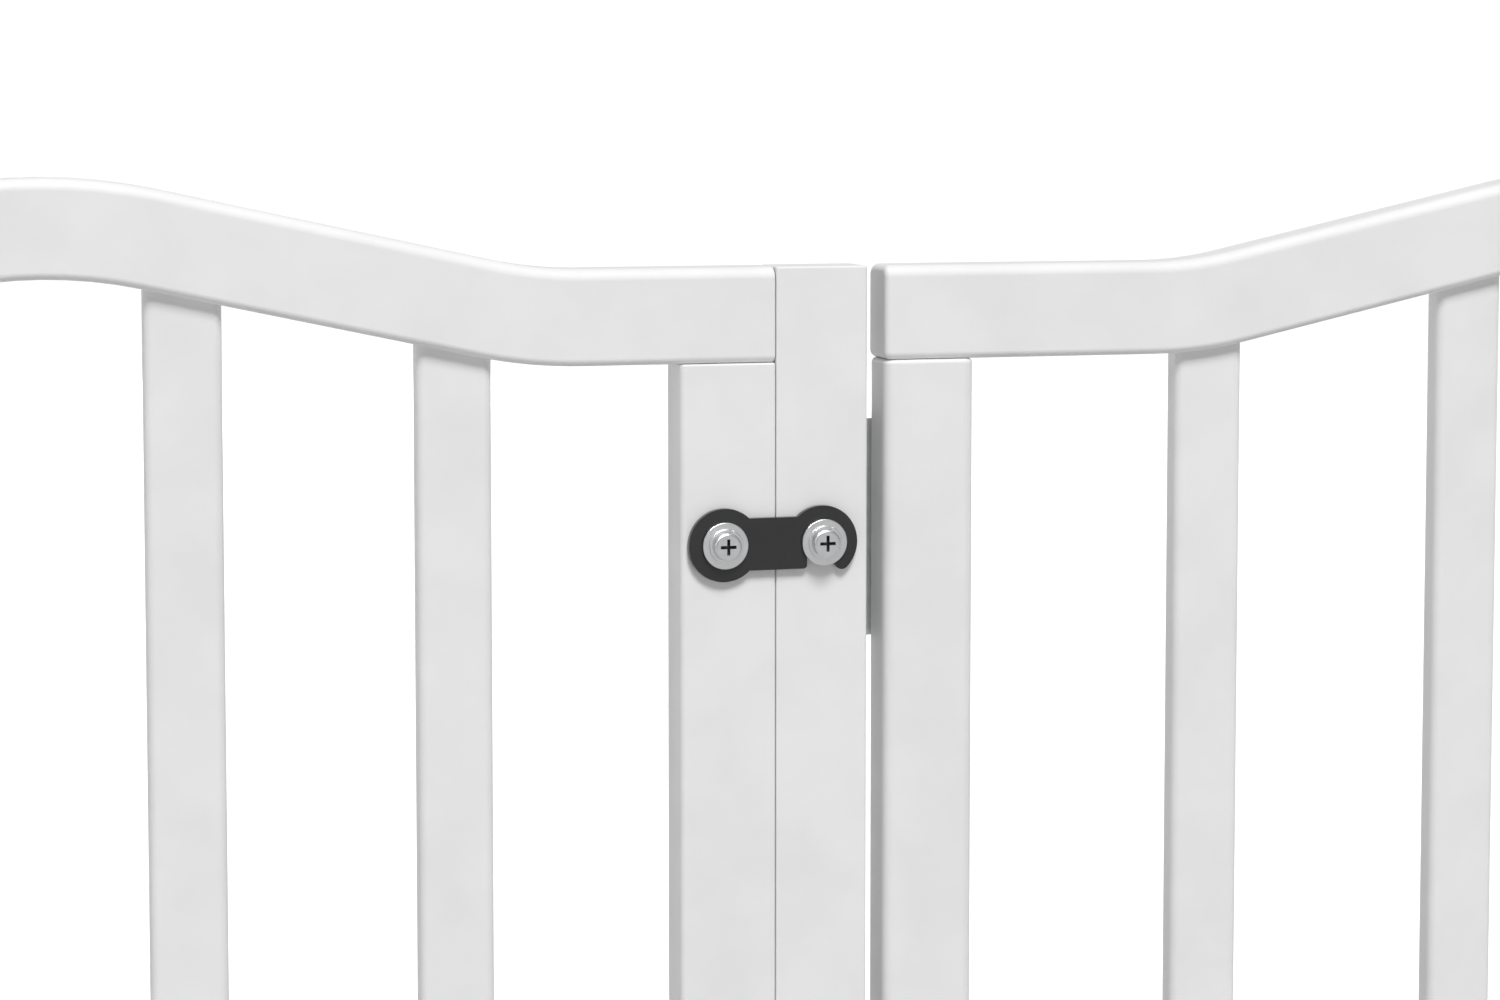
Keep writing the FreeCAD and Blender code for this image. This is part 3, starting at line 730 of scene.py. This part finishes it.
def make_spring_washer(node):
    """A split ring of square wire that rises by a fraction of its thickness."""
    low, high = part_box(node)
    outer, thick = (high.x - low.x) / 2, high.y - low.y
    wire = thick * WIRE_SHARE
    bm = bmesh.new()
    bmesh.ops.create_grid(bm, x_segments=1, y_segments=1, size=0.5)
    bmesh.ops.rotate(bm, cent=(0, 0, 0), matrix=Matrix.Rotation(math.pi / 2, 3, "X"),
                     verts=bm.verts[:])
    width = outer - SPRING_BORE
    bmesh.ops.scale(bm, vec=(width, 1, wire), verts=bm.verts[:])
    bmesh.ops.translate(bm, vec=(outer - width / 2, 0, wire / 2), verts=bm.verts[:])
    start = math.radians(SPLIT_PLACE + SPLIT_DEGREES / 2)
    bmesh.ops.rotate(bm, cent=(0, 0, 0), matrix=Matrix.Rotation(start, 3, "Z"),
                     verts=bm.verts[:])
    bmesh.ops.spin(bm, geom=bm.faces[:], cent=(0, 0, 0), axis=UP_AXIS,
                   dvec=(0, 0, (thick - wire) / TURN_STEPS),
                   angle=math.radians(360 - SPLIT_DEGREES), steps=TURN_STEPS)
    bmesh.ops.recalc_face_normals(bm, faces=bm.faces[:])
    soften(bm, sharp_edges(bm, 50), WIRE_EDGE, segments=3)
    return bm


def make_pan_screw(node):
    """A pan head screw: flat crown, round shoulder, cross recess and plain shank."""
    low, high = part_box(node)
    head = (high.x - low.x) / 2
    length = high.y - low.y
    base = length - HEAD_HEIGHT
    profile = [(0, 0), (PAN_SHANK * TIP_SHARE, 0), (PAN_SHANK, TIP_LENGTH), (PAN_SHANK, base),
               (head, base), *arc_points(SHOULDER, head - SHOULDER, length - SHOULDER, 0, 90,
                                         SHOULDER_STEPS), (0, length)]
    body = lathe(profile, 0)
    blades = cross_blades(length, RECESS_LENGTH, RECESS_WIDTH, RECESS_DEPTH)
    bm = carve(body, blades)
    paint_shade_in_cross(bm, length, RECESS_LENGTH)
    bmesh.ops.translate(bm, vec=(0, 0, -length), verts=bm.verts[:])
    return bm


for screw, body in (("latch_pivot", "door"), ("latch_keeper", "door_frame")):
    centre = sum(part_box(f"{screw}_bush"), Vector()) / 2
    for part, maker in (("bush", make_washer), ("washer", make_washer),
                        ("lock_washer", make_spring_washer)):
        node = f"{screw}_{part}"
        point = Vector((centre.x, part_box(node)[1].y, centre.z))
        hand_over(maker(node), f"{node}_ring", body, ZINC, node, facing_front(point))
    node = f"{screw}_screw"
    point = Vector((centre.x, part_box(node)[0].y, centre.z))
    hand_over(make_pan_screw(node), f"{node}_turned", body, ZINC, node, facing_front(point),
              second_finish=PAINTED_SHADE_FINISH)
    print(screw, "screw stands at", [round(c / MM, 1) for c in point], "mm")

# %% [markdown]
# ## Hinge screws
#
# Each hinge leaf is held by three countersunk screws, whose heads sit just below the
# leaf's face. They are all the same, so one is turned and carved, and then copied to its
# places: up and down the leaf, on both sides of the pin, with every cross left at a
# different angle, as a screwdriver leaves them.

# %% Countersunk screws
HEAD_RADIUS = 3.25 * MM
SHANK_RADIUS = 1.75 * MM
SCREW_LENGTH = 14 * MM
LEAF_THICKNESS = 1.5 * MM
SCREW_INSET = 12 * MM
SCREW_SPACING = 26 * MM
HINGE_LENGTH = 70 * MM
TWIST = 37
HEAD_SINK, HEAD_RIM = 0.1 * MM, 0.3 * MM
CROSS_LENGTH, CROSS_WIDTH, CROSS_DEPTH = 4.0 * MM, 0.8 * MM, 1.1 * MM

countersunk = carve(
    lathe([(0, -SCREW_LENGTH), (SHANK_RADIUS, -SCREW_LENGTH + SHANK_RADIUS),
           (SHANK_RADIUS, SHANK_RADIUS - HEAD_RADIUS - HEAD_SINK), (HEAD_RADIUS, -HEAD_RIM),
           (HEAD_RADIUS, -HEAD_SINK), (0, -HEAD_SINK)], 0, steps=32),
    cross_blades(-HEAD_SINK, CROSS_LENGTH, CROSS_WIDTH, CROSS_DEPTH))
paint_shade_in_cross(countersunk, -HEAD_SINK, CROSS_LENGTH)
one_screw = bpy.data.meshes.new("one_screw")
countersunk.to_mesh(one_screw)
countersunk.free()


def screw_row(axis, side, face, heights):
    """Copy the screw to its six places on one pair of leaves."""
    bm = bmesh.new()
    surface = face * (rail_depth / 2 + LEAF_THICKNESS)
    for index, height in enumerate(heights):
        first = len(bm.verts)
        bm.from_mesh(one_screw)
        bm.verts.ensure_lookup_table()
        point = Vector((axis.x + side * SCREW_INSET, surface, height))
        twist = Matrix.Rotation(math.radians(TWIST * (index + 1)), 4, "Z")
        aim = Matrix.Rotation(math.pi / 2 * (-face), 4, "X")
        bmesh.ops.transform(bm, matrix=Matrix.Translation(point) @ aim @ twist,
                            verts=bm.verts[first:])
    return bm


for hinge, face, fixed, moving in (("door_hinge", -1, "door_frame", "door"),
                                   ("frame_hinge", 1, "door_frame", "middle_panel"),
                                   ("end_hinge", -1, "middle_panel", "end_panel")):
    low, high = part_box(f"{hinge}_fixed_leaves")
    middles = (low.z + HINGE_LENGTH / 2, high.z - HINGE_LENGTH / 2)
    heights = [middle + step * SCREW_SPACING for middle in middles for step in (-1, 0, 1)]
    for kind, side, body in (("fixed", -1, fixed), ("moving", 1, moving)):
        node = f"{hinge}_{kind}_screws"
        place = turn_forward if body == "end_panel" else None
        hand_over(screw_row(hinge_axis[hinge], side, face, heights), f"{node}_turned", body,
                  ZINC, node, place, second_finish=PAINTED_SHADE_FINISH)
        print(node, "has", len(heights), "screws")

# %% [markdown]
# ## Parts that keep their CAD shape
#
# The hinge leaves and pins are plain pressed steel, and the dowels are hidden in their
# joints. Their CAD shapes are right as they are, so they only get a finish.

# %% Finishes for the CAD parts
for name, node in frame["nodes"].items():
    finish = None
    if name.endswith(("_leaves", "_pins")):
        finish = ROLLED_ZINC
    elif name.endswith("dowels"):
        finish = BEECH
    if finish:
        node.data.materials.clear()
        node.data.materials.append(finish)
        print(name, "is", finish.name)

# %% [markdown]
# ## Studio
#
# The gate stands on a pale floor. The ground behind it glows by its own emission, painted
# light that stands in for background lights, and goes to pure white, while the floor around
# the gate stays a soft grey, so that the white paint doesn't drown in white. The world looks
# white to the eye but gives the gate only a dim even light, so that the soft boxes can shape it.

# %% Floor and world
FLOOR_GLOW = 0.88
GLOW_STARTS, GLOW_FULL = 0.6, 1.35
WALL_LIGHT = 1.05
ROOM_LIGHT = 0.28
FLOOR_REACH = 60


def pale_floor():
    """Pale matt paper with painted light: it glows by its own emission towards the back."""
    finish, tree, shader, place = new_finish("pale_paper_with_painted_glow")
    mottle = add_node(tree, "ShaderNodeTexNoise", links={"Vector": place}, Scale=3.0).outputs[0]
    tone = add_node(tree, "ShaderNodeValToRGB", links={"Fac": mottle})
    tone.color_ramp.elements[0].color = linear("#C0C0C0")
    tone.color_ramp.elements[1].color = linear("#C4C4C4")
    tree.links.new(tone.outputs[0], shader.inputs["Base Color"])
    back = add_node(tree, "ShaderNodeSeparateXYZ", links={"Vector": place}).outputs["Y"]
    # Painted light: the floor's emission rises from front to back, in place of lights on the
    # ground.
    glow = add_node(tree, "ShaderNodeMapRange", {"interpolation_type": "SMOOTHSTEP"},
                    {"Value": back}, From_Min=GLOW_STARTS, From_Max=GLOW_FULL, To_Min=0.0,
                    To_Max=FLOOR_GLOW).outputs[0]
    tree.links.new(glow, shader.inputs["Emission Strength"])
    shader.inputs["Emission Color"].default_value = (1, 1, 1, 1)
    shader.inputs["Roughness"].default_value = 0.9
    shader.inputs["Specular IOR Level"].default_value = 0.1
    return finish


floor_bm = bmesh.new()
bmesh.ops.create_grid(floor_bm, x_segments=1, y_segments=1, size=FLOOR_REACH)
bmesh.ops.translate(floor_bm, vec=(0, 0, cad_bounds[0].z), verts=floor_bm.verts[:])
floor_mesh = bpy.data.meshes.new("studio_floor")
floor_bm.to_mesh(floor_mesh)
floor_bm.free()
floor_mesh.materials.append(pale_floor())
floor = bpy.data.objects.new("studio_floor", floor_mesh)
bpy.context.scene.collection.objects.link(floor)

world = bpy.data.worlds.new("white_studio")
bpy.context.scene.world = world
world.use_nodes = True
sky = world.node_tree
sky.nodes.clear()
seen = add_node(sky, "ShaderNodeLightPath").outputs["Is Camera Ray"]
strength = add_node(sky, "ShaderNodeMapRange", links={"Value": seen}, To_Min=ROOM_LIGHT,
                    To_Max=WALL_LIGHT).outputs[0]
backdrop = add_node(sky, "ShaderNodeBackground", links={"Strength": strength},
                    Color=(1, 1, 1, 1))
add_node(sky, "ShaderNodeOutputWorld", links={"Surface": backdrop.outputs[0]})
print("floor glows from", GLOW_STARTS, "m to", GLOW_FULL, "m behind the gate")

# %% [markdown]
# ## Soft boxes
#
# A large soft box above the front does most of the work: tops are brightest, fronts next,
# sides fall off to grey, and rails shade the slats. A small card in front gives the screw
# heads something to reflect, one at the left keeps the sides of the bars from going dark,
# and a box low behind the gate lights its back. The back box is kept out of the gloss, so
# that it doesn't glare on the tops. The glint card reaches only the gloss, so it brightens
# the edges of the washers and barely the paint.

# %% Soft boxes
latch_point = (pivot + keeper) / 2


def soft_box(name, azimuth, elevation, distance, size, watts, reaches=("diffuse", "glossy")):
    """Hang a square light that looks at the latch, azimuth 0 being straight in front."""
    light = bpy.data.lights.new(name, "AREA")
    light.size = size
    light.energy = watts
    lamp = bpy.data.objects.new(name, light)
    a, e = math.radians(azimuth), math.radians(elevation)
    way = Vector((math.sin(a) * math.cos(e), -math.cos(a) * math.cos(e), math.sin(e)))
    lamp.location = latch_point + way * distance
    lamp.rotation_mode = "QUATERNION"
    lamp.rotation_quaternion = way.to_track_quat("Z", "Y")
    lamp.visible_camera = False
    lamp.visible_diffuse = "diffuse" in reaches
    lamp.visible_glossy = "glossy" in reaches
    bpy.context.scene.collection.objects.link(lamp)
    return lamp


soft_box("key_soft_box", azimuth=2, elevation=54, distance=12, size=3.6, watts=1215)
soft_box("front_card", azimuth=14, elevation=8, distance=3, size=1.1, watts=1.8)
soft_box("left_card", azimuth=-80, elevation=15, distance=3, size=1.1, watts=8.5)
soft_box("glint_card", azimuth=-59, elevation=58, distance=3, size=0.5, watts=110,
         reaches=["glossy"])
soft_box("back_soft_box", azimuth=178, elevation=12, distance=8, size=3, watts=175,
         reaches=["diffuse"])

# %% [markdown]
# ## Camera
#
# A long lens looks at the latch from just above the top rail, turned to the right, so the
# left sides of the bars show. Part of the downward look is a lens shift, which keeps the
# uprights nearly parallel.

# %% Camera
CAMERA_FROM_LATCH = Vector((-0.2781, -0.9476, 0.1321))
CAMERA_TILT = 3.87
CAMERA_TURN = 15.93
CAMERA_LENS = 76.3
CAMERA_SHIFT = -0.11
SENSOR_WIDTH = 36
camera_data = bpy.data.cameras.new("camera")
camera_data.lens = CAMERA_LENS
camera_data.sensor_width = SENSOR_WIDTH
camera_data.shift_y = CAMERA_SHIFT
camera_data.dof.use_dof = False
camera = bpy.data.objects.new("camera", camera_data)
camera.location = latch_point + CAMERA_FROM_LATCH
camera.rotation_euler = (math.radians(90 - CAMERA_TILT), 0, -math.radians(CAMERA_TURN))
bpy.context.scene.collection.objects.link(camera)
bpy.context.scene.camera = camera
bpy.context.scene.view_settings.view_transform = "Standard"
bpy.context.scene.view_settings.look = "None"

print("camera stands", round(CAMERA_FROM_LATCH.length, 2), "m from the latch")
